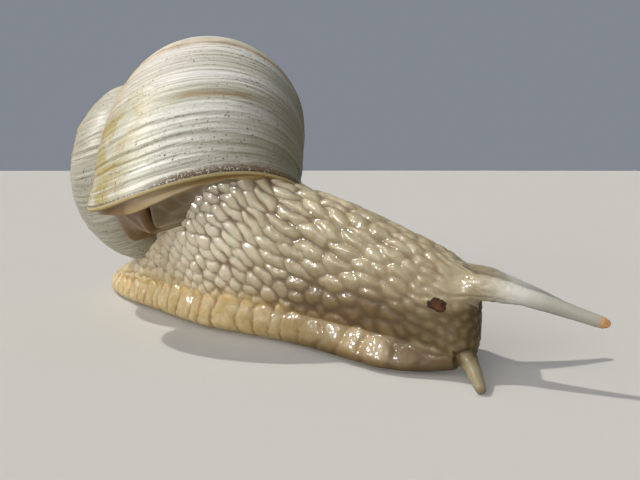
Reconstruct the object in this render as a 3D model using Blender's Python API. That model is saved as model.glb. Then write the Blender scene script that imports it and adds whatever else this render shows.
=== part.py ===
# Roman snail, life size, crawling with the shell carried high and the body stretched forward.
# Metres, +Z up, the head looks along -Y, the foot rests on z = 0.
import math

import bmesh
import bpy
import numpy as np
from mathutils import Matrix, Vector

for old in list(bpy.data.objects):
    bpy.data.objects.remove(old, do_unlink=True)

MM = 0.001

# ---------------------------------------------------------------- sizes, millimetres
# Shell: a tube that grows by one factor a turn round an axis leaning back and up.
WHORL_GROWTH = 1.94
WHORL_CENTRE = 13.65
WHORL_OUT = 13.45
WHORL_ALONG = 15.7
WHORL_PITCH = 2.1
SHOULDER = 0.09
SHOULDER_AT = 1.95
SHOULDER_SPREAD = 0.75
SHELL_TURNS = 4.6
SHELL_TOP = (-10.2, 47.9, 30.0)
AXIS_TURN = math.radians(26.0)
AXIS_RISE = math.radians(22.0)
MOUTH_SPIN = math.radians(-7.0)
LIP_SLANT = 0.41
LIP_FALL = 3.6
LIP_FALL_FROM = 2.2
LIP_REACH = 0.07
WALL_PART = 0.075
MOUTH_DEPTH = 0.24
SHELL_CLEAR = 0.012

# Body stations, tail to head: y, foot middle x, turn (deg), foot half width, flank half width,
# fringe height, lean of the back to the right, back height, underside height.
STATIONS = (
    (54.3, 1.6, 0, 1.0, 0.8, 0.7, 0.0, 1.3, -0.5),
    (53.2, 1.5, 0, 2.5, 2.2, 1.6, 0.0, 2.7, -0.5),
    (50.5, 1.2, 0, 4.3, 3.8, 2.6, 0.0, 4.5, -0.5),
    (45.0, 0.7, 0, 6.3, 5.6, 3.4, 0.0, 6.6, -0.5),
    (37.0, 0.1, 0, 8.0, 7.3, 4.0, -0.8, 9.4, -0.5),
    (28.0, -0.3, 0, 9.1, 8.4, 4.4, -3.6, 14.5, -0.5),
    (20.0, -0.7, 0, 10.1, 9.4, 4.6, -6.2, 20.0, -0.5),
    (12.5, -1.1, 0, 10.5, 9.8, 4.6, -7.0, 23.0, -0.5),
    (5.5, -0.9, 0, 9.8, 9.2, 4.5, -6.6, 23.8, -0.5),
    (0.0, -0.7, 0, 9.2, 8.7, 4.4, -4.6, 20.9, -0.5),
    (-6.5, -0.7, 0, 9.0, 8.2, 4.3, -3.2, 18.9, -0.5),
    (-13.0, -1.0, 2, 9.4, 7.9, 4.1, -2.2, 16.6, -0.5),
    (-18.0, -1.4, 8, 9.0, 7.0, 3.8, -1.4, 14.9, -0.5),
    (-21.3, -1.6, 16, 7.9, 6.2, 3.4, -0.8, 13.7, -0.5),
    (-23.4, -1.7, 22, 6.4, 5.6, 3.2, -0.3, 12.6, -0.4),
    (-24.6, -1.5, 25, 5.2, 5.0, 3.6, 0.0, 11.6, 0.9),
    (-25.4, -1.3, 27, 3.9, 3.9, 4.4, 0.0, 10.3, 2.2),
    (-25.8, -1.1, 27, 2.3, 2.3, 5.2, 0.0, 8.8, 3.7),
)
STEPS_BETWEEN = 3
RING_UPPER = 20
RING_LOWER = 12
SOLE_SQUARE = 6.0

# Where the body is parted, and how wide each thin cut is.
CUT = 0.1
FOOT_TOP = 3.2
TRUNK_CUTS = (32.0, 12.0, -7.0, -17.5)

# Feelers: root, middle and tip points, root and tip radius.
UPPER_RIGHT = ((-4.1, -25.3, 10.2), (-2.6, -32.0, 9.4), (-0.4, -39.6, 7.4))
UPPER_LEFT = ((1.6, -22.7, 10.5), (6.6, -27.3, 8.4), (11.7, -31.7, 5.5))
UPPER_RADII = (1.75, 1.0, 0.55)
LOWER_RIGHT = ((-4.7, -25.6, 3.4), (-6.8, -28.4, 2.0), (-9.1, -30.9, 0.62))
LOWER_LEFT = ((1.6, -22.2, 3.4), (4.0, -21.9, 2.1), (5.9, -21.5, 0.75))
LOWER_RADII = (1.25, 0.8, 0.5)
EYE_RADIUS = 0.42
TIP_RADIUS = 0.78
SOCKET_CLEAR = 0.06

# Whole model shifted so that the middle of its box stands on the origin.
SHIFT = (2.8, -7.1, 0.0)

parts = bpy.data.collections.new("parts")
cutters = bpy.data.collections.new("cutters")
bpy.context.scene.collection.children.link(parts)
bpy.context.scene.collection.children.link(cutters)


# ---------------------------------------------------------------- materials
def make_material(name, colour, roughness, coat=0.0):
    material = bpy.data.materials.new(name)
    material.use_nodes = True
    shader = material.node_tree.nodes["Principled BSDF"]
    shader.inputs["Base Color"].default_value = (*colour, 1.0)
    shader.inputs["Roughness"].default_value = roughness
    shader.inputs["Coat Weight"].default_value = coat
    material.diffuse_color = (*colour, 1.0)
    return material


SHELL_MATERIAL = make_material("shell_chalk", (0.62, 0.60, 0.54), 0.45)
SKIN_MATERIAL = make_material("skin_cream", (0.55, 0.47, 0.35), 0.35, 0.4)
FOOT_MATERIAL = make_material("foot_ochre", (0.58, 0.44, 0.24), 0.35, 0.4)
MANTLE_MATERIAL = make_material("mantle_cream", (0.60, 0.52, 0.36), 0.3, 0.4)
FEELER_MATERIAL = make_material("feeler_pale", (0.68, 0.64, 0.54), 0.25, 0.4)
EYE_MATERIAL = make_material("eye_brown", (0.16, 0.08, 0.04), 0.15, 0.6)


# ---------------------------------------------------------------- helpers
def add_object(name, mesh, material, collection):
    obj = bpy.data.objects.new(name, mesh)
    collection.objects.link(obj)
    if material is not None:
        mesh.materials.clear()
        mesh.materials.append(material)
    if collection is cutters:
        obj.hide_render = True
        obj.display_type = "WIRE"
    return obj


def mesh_from_rings(name, rings, close_start, close_end):
    """Skin a list of equal rings into one closed solid; the ends are flat caps or poles."""
    count = len(rings[0])
    points = [tuple(p) for ring in rings for p in ring]
    faces = []
    for i in range(len(rings) - 1):
        for j in range(count):
            k = (j + 1) % count
            faces.append((i * count + j, i * count + k, (i + 1) * count + k, (i + 1) * count + j))
    for ring_index, pole in ((0, close_start), (len(rings) - 1, close_end)):
        loop = [ring_index * count + j for j in range(count)]
        points.append(tuple(pole))
        tip = len(points) - 1
        for j in range(count):
            faces.append((loop[j], loop[(j + 1) % count], tip))
    mesh = bpy.data.meshes.new(name)
    mesh.from_pydata(points, [], faces)
    tidy_mesh(mesh)
    return mesh


def tidy_mesh(mesh):
    work = bmesh.new()
    work.from_mesh(mesh)
    bmesh.ops.remove_doubles(work, verts=work.verts, dist=0.000002)
    bmesh.ops.recalc_face_normals(work, faces=work.faces)
    if work.calc_volume(signed=True) < 0:
        bmesh.ops.reverse_faces(work, faces=work.faces)
    work.to_mesh(mesh)
    work.free()


def settle(obj):
    """Turn the modifiers of an object into its own mesh."""
    graph = bpy.context.evaluated_depsgraph_get()
    mesh = bpy.data.meshes.new_from_object(obj.evaluated_get(graph))
    obj.modifiers.clear()
    obj.data = mesh
    tidy_mesh(mesh)
    return obj


def combine(obj, other, operation, use_self=False):
    step = obj.modifiers.new(operation.lower(), "BOOLEAN")
    step.operation = operation
    step.object = other
    step.solver = "EXACT"
    step.use_self = use_self
    return settle(obj)


def copy_of(obj, name, material, collection):
    return add_object(name, obj.data.copy(), material, collection)


def block(name, low, high):
    """A box between two corners in millimetres of the body frame, kept with the cutters."""
    low = np.array(low) + SHIFT
    high = np.array(high) + SHIFT
    work = bmesh.new()
    bmesh.ops.create_cube(work, size=1.0)
    size = (high - low) * MM
    middle = (high + low) * 0.5 * MM
    bmesh.ops.scale(work, vec=Vector(size), verts=work.verts)
    bmesh.ops.translate(work, vec=Vector(middle), verts=work.verts)
    mesh = bpy.data.meshes.new(name)
    work.to_mesh(mesh)
    work.free()
    return add_object(name, mesh, None, cutters)


def ball(name, centre, radius, material, collection, segments=10):
    work = bmesh.new()
    bmesh.ops.create_uvsphere(work, u_segments=segments, v_segments=segments // 2, radius=radius * MM)
    place = Vector((np.array(centre) + SHIFT) * MM)
    bmesh.ops.translate(work, vec=place, verts=work.verts)
    mesh = bpy.data.meshes.new(name)
    work.to_mesh(mesh)
    work.free()
    return add_object(name, mesh, material, collection)


def smooth_row(knots, t):
    """Smooth curve through evenly numbered knots: cubic, with slopes from the neighbours."""
    last = len(knots) - 1
    i = min(int(t), last - 1)
    f = t - i
    p0 = knots[max(i - 1, 0)]
    p1 = knots[i]
    p2 = knots[i + 1]
    p3 = knots[min(i + 2, last)]
    m1 = (p2 - p0) * 0.5
    m2 = (p3 - p1) * 0.5
    h1 = 2 * f ** 3 - 3 * f ** 2 + 1
    h2 = f ** 3 - 2 * f ** 2 + f
    h3 = -2 * f ** 3 + 3 * f ** 2
    h4 = f ** 3 - f ** 2
    return h1 * p1 + h2 * m1 + h3 * p2 + h4 * m2


# ---------------------------------------------------------------- body
def body_ring(row):
    """Outline of the body across one station, from the left fringe over the back and under."""
    y, middle, turn, foot, flank, fringe, lean, back, under = row
    turn = math.radians(turn)
    ring = []
    for j in range(RING_UPPER):
        a = math.pi * j / RING_UPPER
        side = flank * math.cos(a) + lean * math.sin(a) ** 1.5
        ring.append((side, fringe + (back - fringe) * math.sin(a)))
    for j in range(RING_LOWER):
        a = math.pi * j / RING_LOWER
        flat = max(math.sin(a), 0.0) ** (2.0 / SOLE_SQUARE)
        across = -math.copysign(abs(math.cos(a)) ** (2.0 / SOLE_SQUARE), math.cos(a))
        width = flank + (foot - flank) * min(1.0, 1.6 * flat)
        ring.append((width * across, fringe + (under - fringe) * flat))
    return [
        (middle + s * math.cos(turn), y + s * math.sin(turn), z)
        for s, z in ring
    ]


def to_metres(ring):
    return [tuple((np.array(p) + SHIFT) * MM) for p in ring]


def make_body():
    """The soft body as one closed loft through its stations, the sole cut flat at z = 0."""
    knots = [np.array(row, dtype=float) for row in STATIONS]
    steps = (len(knots) - 1) * STEPS_BETWEEN
    rings = [to_metres(body_ring(smooth_row(knots, i / STEPS_BETWEEN))) for i in range(steps + 1)]
    tail = np.mean(rings[0], axis=0) + np.array((0.0, 0.4, 0.0)) * MM
    snout = np.mean(rings[-1], axis=0) + np.array((0.1, -0.25, 0.0)) * MM
    mesh = mesh_from_rings("body_whole", rings, tail, snout)
    body = add_object("body_whole", mesh, SKIN_MATERIAL, cutters)
    ground = block("ground_plane", (-40, -50, -10), (40, 70, 0))
    return combine(body, ground, "DIFFERENCE")


# ---------------------------------------------------------------- shell
def shell_frame():
    axis = np.array((
        -math.sin(AXIS_TURN) * math.cos(AXIS_RISE),
        math.cos(AXIS_TURN) * math.cos(AXIS_RISE),
        math.sin(AXIS_RISE),
    ))
    level = np.cross((0.0, 0.0, 1.0), axis)
    level /= np.linalg.norm(level)
    down = np.cross(level, axis)
    out = level * math.cos(MOUTH_SPIN) + down * math.sin(MOUTH_SPIN)
    grow = -level * math.sin(MOUTH_SPIN) + down * math.cos(MOUTH_SPIN)
    return axis, out, grow


AXIS, OUTWARD, ONWARD = shell_frame()


def shell_point(turn, around, size=1.0):
    """Point of the shell tube: turn is the angle along the spiral (0 at the mouth, negative back),
    around the angle in its cross-section (90 degrees towards the top of the spire)."""
    scale = WHORL_GROWTH ** (turn / (2 * math.pi))
    spoke = math.cos(turn) * OUTWARD + math.sin(turn) * ONWARD
    fall = LIP_FALL * max(0.0, min(1.3, (turn + LIP_FALL_FROM) / LIP_FALL_FROM)) ** 2
    past = (around - SHOULDER_AT) / SHOULDER_SPREAD
    size = size * (1.0 + SHOULDER * math.exp(-past * past))
    radial = scale * (WHORL_CENTRE + WHORL_OUT * size * math.cos(around))
    along = scale * (-WHORL_PITCH * WHORL_CENTRE + WHORL_ALONG * size * math.sin(around)) - fall
    return np.array(SHELL_TOP) + radial * spoke + along * AXIS


def shell_ring(turn, size, count, slant=0.0):
    ring = []
    for j in range(count):
        around = 2 * math.pi * j / count
        ring.append(shell_point(turn + slant * LIP_SLANT * math.sin(around), around, size))
    return to_metres(ring)


def shell_tube(name, start, end, steps, size, count, collection, flare=0.0, pace=1.0):
    """Closed length of the shell tube; the mouth end follows the slanted growth line."""
    rings = []
    for i in range(steps + 1):
        turn = start + (end - start) * (i / steps) ** pace
        slant = max(0.0, min(1.0, (turn - LIP_REACH + 1.4) / 1.4))
        lift = flare * max(0.0, 1.0 - (end - turn) / 0.16)
        rings.append(shell_ring(turn, size + lift, count, slant))
    first = np.mean(rings[0], axis=0)
    last = np.mean(rings[-1], axis=0)
    mesh = mesh_from_rings(name, rings, first, last)
    return add_object(name, mesh, SHELL_MATERIAL, collection)


def apex_ball(name, grow):
    turn = -SHELL_TURNS * 2 * math.pi
    scale = WHORL_GROWTH ** (turn / (2 * math.pi))
    centre = np.mean([shell_point(turn, a) for a in (0.0, math.pi)], axis=0)
    return ball(name, centre, WHORL_ALONG * scale * grow, SHELL_MATERIAL, cutters, 12)


def whole_shell(name, size, flare, collection):
    """The coiled tube melted into one solid with its rounded tip."""
    start = -SHELL_TURNS * 2 * math.pi
    tube = shell_tube(name, start, LIP_REACH, 82, size, 24, collection, flare, 0.75)
    return combine(tube, apex_ball(name + "_tip", size * 1.02), "UNION", use_self=True)


def make_shell():
    shell = whole_shell("shell", 1.0, 0.03, parts)
    hollow = mouth_hollow("mouth_hollow", 1.0 - WALL_PART, MOUTH_DEPTH)
    return combine(shell, hollow, "DIFFERENCE")


def mouth_hollow(name, size, depth, end=LIP_REACH + 0.12, round_edge=0.0, clear=0.015):
    """Space just inside the lip: the tube again, thinner, without the whorl it lies against."""
    hollow = shell_tube(name, -depth, end, 6, size, 24, cutters, -round_edge)
    past = -2 * math.pi
    whorl = shell_tube(name + "_whorl", past - 1.2, past + 1.2, 16, 1.0 + clear, 24, cutters)
    return combine(hollow, whorl, "DIFFERENCE")


def make_mantle():
    """The soft rim that fills the mouth of the shell and stands a little out of it."""
    size = 1.0 - WALL_PART - 0.03
    hollow = mouth_hollow("mantle_form", size, MOUTH_DEPTH - 0.03, LIP_REACH + 0.06, 0.07, 0.06)
    return copy_of(hollow, "mantle_collar", MANTLE_MATERIAL, parts)


def mantle_room():
    size = 1.0 - WALL_PART - 0.01
    return mouth_hollow("mantle_room", size, MOUTH_DEPTH, LIP_REACH + 0.075, 0.06, 0.04)


# ---------------------------------------------------------------- feelers
def feeler(name, points, radii, collection, extra=0.0, material=None):
    """Tapered tube through three points, rounded at its free end, from a curve with a bevel."""
    knots = [np.array(p, dtype=float) for p in points]
    row = [smooth_row(knots, 2.0 * i / 10) for i in range(11)]
    sizes = [np.interp(2.0 * i / 10, (0, 1, 2), radii) for i in range(11)]
    away = row[-1] - row[-2]
    away = away / np.linalg.norm(away)
    for step, part in ((0.35, 0.9), (0.6, 0.62), (0.72, 0.3)):
        row.append(row[10] + away * radii[2] * step * 1.3)
        sizes.append(radii[2] * part)
    curve = bpy.data.curves.new(name, "CURVE")
    curve.dimensions = "3D"
    curve.bevel_depth = MM
    curve.bevel_resolution = 2
    curve.use_fill_caps = True
    line = curve.splines.new("POLY")
    line.points.add(len(row) - 1)
    for point, place, size in zip(line.points, row, sizes):
        point.co = (*((place + SHIFT) * MM), 1.0)
        point.radius = size + extra
    obj = bpy.data.objects.new(name + "_curve", curve)
    cutters.objects.link(obj)
    graph = bpy.context.evaluated_depsgraph_get()
    mesh = bpy.data.meshes.new_from_object(obj.evaluated_get(graph))
    bpy.data.objects.remove(obj, do_unlink=True)
    tidy_mesh(mesh)
    return add_object(name, mesh, material, collection)


def cut_across(name, points, part):
    """A large box standing across a feeler, its near face at a fraction of its length."""
    knots = [np.array(p, dtype=float) for p in points]
    place = smooth_row(knots, 2.0 * part)
    ahead = smooth_row(knots, 2.0 * part + 0.05) - place
    ahead = Vector(ahead).normalized()
    slab = block(name, (0, 0, 0), (1, 1, 1))
    work = bmesh.new()
    bmesh.ops.create_cube(work, size=1.0)
    reach = 30.0
    bmesh.ops.scale(work, vec=Vector((6.0, 6.0, reach)) * MM, verts=work.verts)
    bmesh.ops.translate(work, vec=Vector((0, 0, reach / 2)) * MM, verts=work.verts)
    turn = ahead.to_track_quat("Z", "Y").to_matrix().to_4x4()
    move = Matrix.Translation(Vector((place + SHIFT) * MM))
    bmesh.ops.transform(work, matrix=move @ turn, verts=work.verts)
    work.to_mesh(slab.data)
    work.free()
    return slab, ahead


def feeler_lengths(side, kind, points, radii, cuts):
    """The feeler in lengths: each is the tube between two cuts across it."""
    whole = feeler(f"{kind}_feeler_{side}_form", points, radii, cutters, 0.0, FEELER_MATERIAL)
    names = ("root", "middle", "tip") if len(cuts) == 2 else ("root", "tip")
    made = []
    for index, name in enumerate(names):
        title = f"{kind}_feeler_{side}_{name}"
        piece = copy_of(whole, title, FEELER_MATERIAL, parts)
        if index < len(cuts):
            beyond, ahead = cut_across(title + "_end", points, cuts[index])
            combine(piece, beyond, "DIFFERENCE")
        if index > 0:
            before, ahead = cut_across(title + "_start", points, cuts[index - 1])
            before.data.transform(Matrix.Translation(ahead * CUT * MM))
            combine(piece, before, "INTERSECT")
        made.append(piece)
    return made


# ---------------------------------------------------------------- assembly
def keep_largest(obj):
    """Drop loose crumbs that a cut may leave, keeping the one real body."""
    work = bmesh.new()
    work.from_mesh(obj.data)
    left = set(work.verts)
    groups = []
    while left:
        seed = left.pop()
        group = {seed}
        front = [seed]
        while front:
            for edge in front.pop().link_edges:
                for vert in edge.verts:
                    if vert in left:
                        left.discard(vert)
                        group.add(vert)
                        front.append(vert)
        groups.append(group)
    groups.sort(key=len)
    for group in groups[:-1]:
        bmesh.ops.delete(work, geom=list(group), context="VERTS")
    work.to_mesh(obj.data)
    work.free()


def region(name, source, low, high, material):
    piece = copy_of(source, name, material, parts)
    combine(piece, block(name + "_room", low, high), "INTERSECT")
    keep_largest(piece)
    return piece


shell = make_shell()
mantle = make_mantle()
body = make_body()
combine(body, whole_shell("shell_room", 1.0 + SHELL_CLEAR, 0.03, cutters), "DIFFERENCE")
combine(body, mantle_room(), "DIFFERENCE")
keep_largest(body)

FEELERS = (
    ("upper", "right", UPPER_RIGHT, UPPER_RADII, (0.32, 0.8)),
    ("upper", "left", UPPER_LEFT, UPPER_RADII, (0.32, 0.8)),
    ("lower", "right", LOWER_RIGHT, LOWER_RADII, (0.6,)),
    ("lower", "left", LOWER_LEFT, LOWER_RADII, (0.6,)),
)
for kind, side, points, radii, cuts in FEELERS:
    socket = feeler(f"{kind}_socket_{side}", points, radii, cutters, SOCKET_CLEAR)
    combine(body, socket, "DIFFERENCE")
    lengths = feeler_lengths(side, kind, points, radii, cuts)
    if kind == "upper":
        tip = lengths[-1]
        ahead = np.array(points[2]) - np.array(points[1])
        ahead = ahead / np.linalg.norm(ahead)
        place = np.array(points[2]) + ahead * 0.55
        pocket = ball(f"eye_room_{side}", place, EYE_RADIUS + 0.05, None, cutters)
        combine(tip, pocket, "DIFFERENCE")
        ball(f"eye_{side}", place, EYE_RADIUS, EYE_MATERIAL, parts)

Y0, Y1, Y2, Y3 = TRUNK_CUTS
ABOVE = FOOT_TOP + CUT
region("tail", body, (-40, Y0, -5), (40, 70, 60), SKIN_MATERIAL)
region("trunk_rear", body, (-40, Y1 + CUT, ABOVE), (40, Y0 - CUT, 60), SKIN_MATERIAL)
region("trunk_front", body, (-40, Y2 + CUT, ABOVE), (40, Y1, 60), SKIN_MATERIAL)
region("neck", body, (-40, Y3 + CUT, ABOVE), (40, Y2, 60), SKIN_MATERIAL)
region("head", body, (-40, -60, -5), (40, Y3, 60), SKIN_MATERIAL)
region("foot_rear", body, (-40, Y1 + CUT, -5), (40, Y0 - CUT, FOOT_TOP), FOOT_MATERIAL)
region("foot_middle", body, (-40, Y2 + CUT, -5), (40, Y1, FOOT_TOP), FOOT_MATERIAL)
region("foot_front", body, (-40, Y3 + CUT, -5), (40, Y2, FOOT_TOP), FOOT_MATERIAL)
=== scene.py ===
import math
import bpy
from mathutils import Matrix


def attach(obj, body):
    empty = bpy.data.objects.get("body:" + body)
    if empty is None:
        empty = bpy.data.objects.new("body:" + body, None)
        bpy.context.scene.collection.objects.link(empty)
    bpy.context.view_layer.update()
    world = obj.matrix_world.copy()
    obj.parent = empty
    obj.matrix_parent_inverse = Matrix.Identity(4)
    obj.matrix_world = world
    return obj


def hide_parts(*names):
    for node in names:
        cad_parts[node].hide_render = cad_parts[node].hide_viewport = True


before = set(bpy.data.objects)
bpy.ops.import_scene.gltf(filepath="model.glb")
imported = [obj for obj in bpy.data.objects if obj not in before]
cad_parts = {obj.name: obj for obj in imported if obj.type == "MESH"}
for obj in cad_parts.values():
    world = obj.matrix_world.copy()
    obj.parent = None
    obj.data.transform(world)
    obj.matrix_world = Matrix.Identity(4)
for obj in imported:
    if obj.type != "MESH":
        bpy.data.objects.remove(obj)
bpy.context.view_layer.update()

from types import SimpleNamespace

import bpy
import numpy as np

mm = 0.001
fullTurn = 2 * math.pi
shift = np.array((2.8, -7.1, 0.0))  # millimetres, stands the whole snail's box on the origin


# small sums used by every piece

def scatter(i, j=0.0, kind=0.0):
    # a repeatable number from 0 to 1 for each pair of whole numbers
    return np.mod(np.sin(i * 12.9898 + j * 78.233 + kind * 37.719) * 43758.5453, 1.0)


def ease(x, low, high):
    # 0 below low, 1 above high, smooth between
    f = np.clip((x - low) / (high - low), 0.0, 1.0)
    return f * f * (3 - 2 * f)


def hills(x, y, kind=0.0):
    # soft random hills one unit apart, -1 to 1: four corner numbers blended over each square
    i, j = np.floor(x), np.floor(y)
    u, v = ease(x - i, 0, 1), ease(y - j, 0, 1)
    low = scatter(i, j, kind) * (1 - u) + scatter(i + 1, j, kind) * u
    high = scatter(i, j + 1, kind) * (1 - u) + scatter(i + 1, j + 1, kind) * u
    return 2 * (low * (1 - v) + high * v) - 1


def hump(x, wide):
    # 1 in the middle, falling like a bell to 0.37 at wide
    return np.exp(-(x / wide)**2)


def span(v):
    # lengths of the vectors in an array
    return np.linalg.norm(v, axis=-1)


def unit(v):
    # the same directions, one long
    return v / (span(v)[..., None] + 1e-9)


def through(knots, t):
    # smooth curve through numbered rows of knots: cubic, slopes from the neighbours
    last = len(knots) - 1
    i = np.clip(np.floor(t).astype(int), 0, last - 1)
    f = (t - i)[:, None]
    p0, p1 = knots[np.maximum(i - 1, 0)], knots[i]
    p2, p3 = knots[i + 1], knots[np.minimum(i + 2, last)]
    m1, m2 = (p2 - p0) / 2, (p3 - p1) / 2
    return p1 + f * f * (3 - 2 * f) * (p2 - p1) + f * (1 - f) * ((1 - f) * m1 - f * m2)


def pebbleCells(x, y, kind):
    # one seed in each unit square, every other row moved half a square; gives the distance to
    # the line half way to the next seed and a random tone for the cell
    place, column, row = x + 1j * y, np.floor(x), np.floor(y)
    near, beyond = np.full(x.shape, 9.0), np.full(x.shape, 9.0)
    own = other = np.zeros(x.shape, complex)
    tone = np.zeros(x.shape)
    for dj in (-1, 0, 1):
        for di in (-2, -1, 0, 1):
            i, j = column + di, row + dj
            seed = (i + 0.5 + 0.5 * np.mod(j, 2) + 0.5 * (scatter(i, j, kind) - 0.5)
                    + 1j * (j + 0.5 + 0.45 * (scatter(i, j, kind + 1) - 0.5)))
            d = abs(place - seed)
            first = d < near
            second = ~first & (d < beyond)
            other = np.where(first, own, np.where(second, seed, other))
            beyond = np.where(first, near, np.where(second, d, beyond))
            own, near = np.where(first, seed, own), np.where(first, d, near)
            tone = np.where(first, scatter(i, j, kind + 2), tone)
    return (beyond**2 - near**2) / (2 * (abs(own - other) + 0.001)), tone


def stripePlace(x, kind=0.0):
    # number of the uneven stripe that x lies in, and how far through it, 0 to 1
    i = np.floor(x)
    edge = lambda k: k + 0.5 * (scatter(k, 0, kind) - 0.5)
    i = i - (x < edge(i)) + (x >= edge(i + 1))
    return i, np.clip((x - edge(i)) / (edge(i + 1) - edge(i)), 0, 1)


def soften(field, times):
    # each point of a grid moves half way to the mean of its four neighbours
    for _ in range(times):
        rows = np.pad(field, ((1, 1), (0, 0)), mode="edge")
        field = field / 2 + (rows[2:] + rows[:-2] + np.roll(field, 1, 1) + np.roll(field, -1, 1)) / 8
    return field


def outward(p):
    # unit normals of a grid that closes round its second direction: the cross product of the
    # steps along and across it, turned away from the rings' middles
    n = unit(np.cross(np.gradient(p, axis=0), (np.roll(p, -1, 1) - np.roll(p, 1, 1)) / 2))
    return n * np.sign(np.einsum("ijk,ijk->", n, p - p.mean(1, keepdims=True)))


def spread(value, shape, *ends):
    # one number for each point of a grid, and then one for each pole
    return np.append(np.broadcast_to(value, shape), ends)


def gridFaces(rows, count, start=0):
    # four-sided faces of a grid that closes round its second direction
    i, j = np.meshgrid(np.arange(rows - 1), np.arange(count), indexing="ij")
    k = (j + 1) % count
    return start + np.stack((i * count + j, i * count + k, (i + 1) * count + k, (i + 1) * count + j), -1)


def poleFaces(ring, pole):
    # fan of triangles from a ring of point numbers to one point
    return np.stack((ring, np.roll(ring, -1), np.full(len(ring), pole)), -1)


def closedGrid(p, poles):
    # points, four-sided faces and end fans of a grid that closes round, with a pole past each end
    rows, count = p.shape[:2]
    ring = np.arange(count)
    fans = poleFaces(ring, rows * count), poleFaces((rows - 1) * count + ring, rows * count + 1)
    return np.concatenate((p.reshape(-1, 3), poles)), gridFaces(rows, count), np.concatenate(fans)


def addObject(name, data):
    obj = bpy.data.objects.new(name, data)
    bpy.context.scene.collection.objects.link(obj)
    return obj


def surface(name, points, quads, triangles, material, marks, uv=None):
    # one mesh object from whole arrays in snail millimetres, without the points that no face
    # uses; the faces are turned outwards, which makes the volume inside them more than 0
    quads = quads.reshape(-1, 4)
    used = np.unique(np.concatenate((quads.ravel(), triangles.ravel())))
    number = np.zeros(len(points), int)
    number[used] = np.arange(len(used))
    quads, triangles = number[quads], number[triangles]
    p = (points[used] + shift) * mm
    a, b, c, d = (p[quads[:, k]] for k in range(4))
    u, v, w = (p[triangles[:, k]] for k in range(3))
    volume = sum(np.einsum("ij,ij->", x, np.cross(y, z)) for x, y, z in ((a, b, c), (a, c, d), (u, v, w)))
    if volume < 0:
        quads, triangles = quads[:, ::-1], triangles[:, ::-1]
    mesh = bpy.data.meshes.new(name)
    mesh.from_pydata(p.tolist(), [], quads.tolist() + triangles.tolist())
    mesh.shade_smooth()
    for title, values in marks.items():
        mesh.attributes.new(title, "FLOAT", "POINT").data.foreach_set("value", values[used])
    if uv is not None:
        loops = np.concatenate((quads.ravel(), triangles.ravel()))
        mesh.uv_layers.new(name="surfaceMap").data.foreach_set("uv", uv[used][loops].ravel())
    mesh.validate()
    mesh.materials.append(material)
    obj = addObject(name, mesh)
    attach(obj, "root")
    print(name + ":", len(quads) * 2 + len(triangles), "triangles")
    return obj


# shader sums

class Wire:
    # a socket that can be added, taken away, multiplied and raised like a number
    def __init__(self, tree, socket):
        self.tree, self.socket = tree, socket

    def maths(self, operation, *values):
        return self.tree.node("ShaderNodeMath", {"operation": operation}, values)

    def clamp(self):
        return self.tree.node("ShaderNodeClamp", {}, (self,))

    def ramp(self, low, high):
        # 0 below low, 1 above high, smooth between
        smooth = {"interpolation_type": "SMOOTHSTEP"}
        return self.tree.node("ShaderNodeMapRange", smooth, (self, low, high, 0.0, 1.0))

    def bell(self, middle, wide):
        # e to the power of minus the squared distance from middle, counted in wides
        return 2.718 ** (((self - middle) / wide) ** 2.0 * -1.0)


mathsNames = dict(add="ADD", sub="SUBTRACT", mul="MULTIPLY", truediv="DIVIDE", pow="POWER")
for sign, operation in mathsNames.items():
    # each operator, and its reflected form for a number on the left
    setattr(Wire, f"__{sign}__", lambda a, b, operation=operation: a.maths(operation, a, b))
    setattr(Wire, f"__r{sign}__", lambda a, b, operation=operation: a.maths(operation, b, a))


class Finish:
    # a material with one Principled shader and short ways to add nodes to it
    def __init__(self, name, **fixed):
        self.material = bpy.data.materials.new(name)
        self.material.use_nodes = True
        self.nodes = self.material.node_tree.nodes
        self.links = self.material.node_tree.links
        self.shader = self.nodes["Principled BSDF"]
        for title, value in fixed.items():
            self.shader.inputs[title.replace("_", " ")].default_value = value

    def node(self, kind, settings, values=(), output=0):
        made = self.nodes.new(kind)
        for title, value in settings.items():
            setattr(made, title, value)
        for place, value in values.items() if isinstance(values, dict) else enumerate(values):
            socket = made.inputs[place]
            if isinstance(value, Wire):
                self.links.new(value.socket, socket)
            else:
                socket.default_value = (*value, 1.0) if socket.type == "RGBA" else value
        return Wire(self, made.outputs[output])

    def place(self):
        return self.node("ShaderNodeTexCoord", {}, (), "Object")

    def mark(self, title):
        return self.node("ShaderNodeAttribute", {"attribute_name": title}, (), "Fac")

    def noise(self, where, scale, detail=3.0, rough=0.55, stretch=None, warp=0.0):
        if stretch:
            where = self.node("ShaderNodeMapping", {}, {"Vector": where, "Scale": stretch})
        return self.node("ShaderNodeTexNoise", {}, {
            "Vector": where, "Scale": scale, "Detail": detail, "Roughness": rough, "Distortion": warp})

    def blend(self, amount, low, high):
        return self.node("ShaderNodeMix", {"data_type": "RGBA"}, {0: amount, 6: low, 7: high}, 2)

    def layers(self, colour, *coats):
        # lays each coat over what is there: how much of it covers, kept from 0 to 1, and its colour
        for amount, paint in coats:
            colour = self.blend(amount, colour, paint)
        return colour

    def bump(self, height, distance, strength):
        return self.node("ShaderNodeBump", {}, {
            "Height": height, "Distance": distance, "Strength": strength})

    def feed(self, **sockets):
        for title, value in sockets.items():
            self.links.new(value.socket, self.shader.inputs[title.replace("_", " ")])
        return self.material


# skin: one surface from the tail to the feelers' tips

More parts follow.
